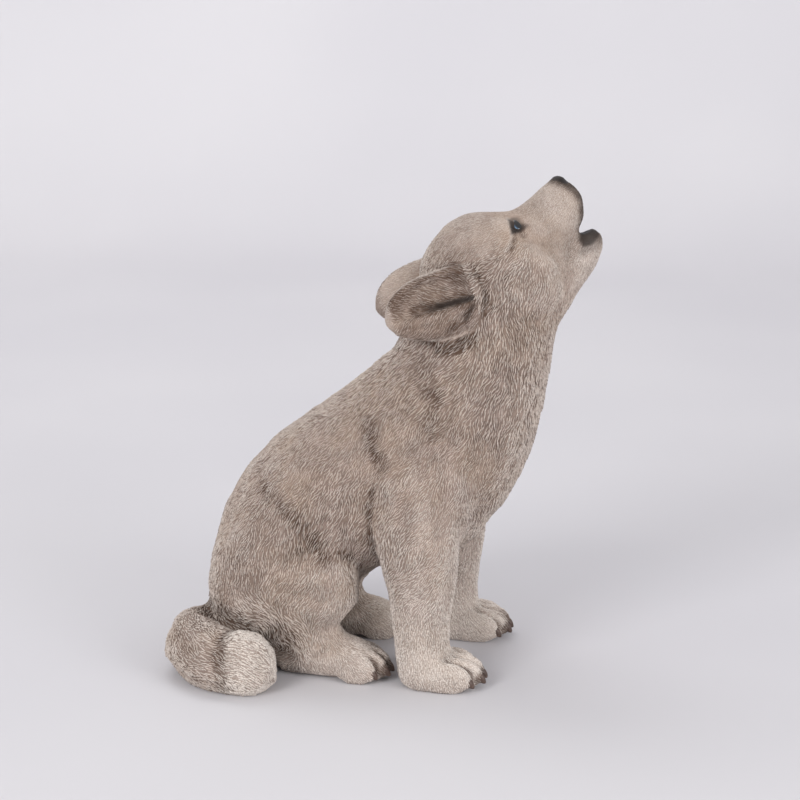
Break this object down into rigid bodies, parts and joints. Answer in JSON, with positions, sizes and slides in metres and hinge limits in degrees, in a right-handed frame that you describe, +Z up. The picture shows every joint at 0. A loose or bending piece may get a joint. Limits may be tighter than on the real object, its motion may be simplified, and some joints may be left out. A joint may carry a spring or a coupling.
{
  "type": "wolf figurine",
  "caption": "Sitting wolf pup figurine howling upward, cast in one piece, with a curled tail and a flat underside to stand on a shelf.",
  "frame": {"origin": "bottom centre of the bounding box, on the surface that the pup stands on", "axes": "+Z up, the pup faces +X, its right side is toward -Y"},
  "size_m": [0.2216, 0.1352, 0.2572],
  "materials": {
    "painted_resin": "matt grey-brown paint, dark in the carved grooves and pale on the tips"
  },
  "bodies": {
    "root": {"wolf_pup": "painted_resin"}
  },
  "joints": []
}
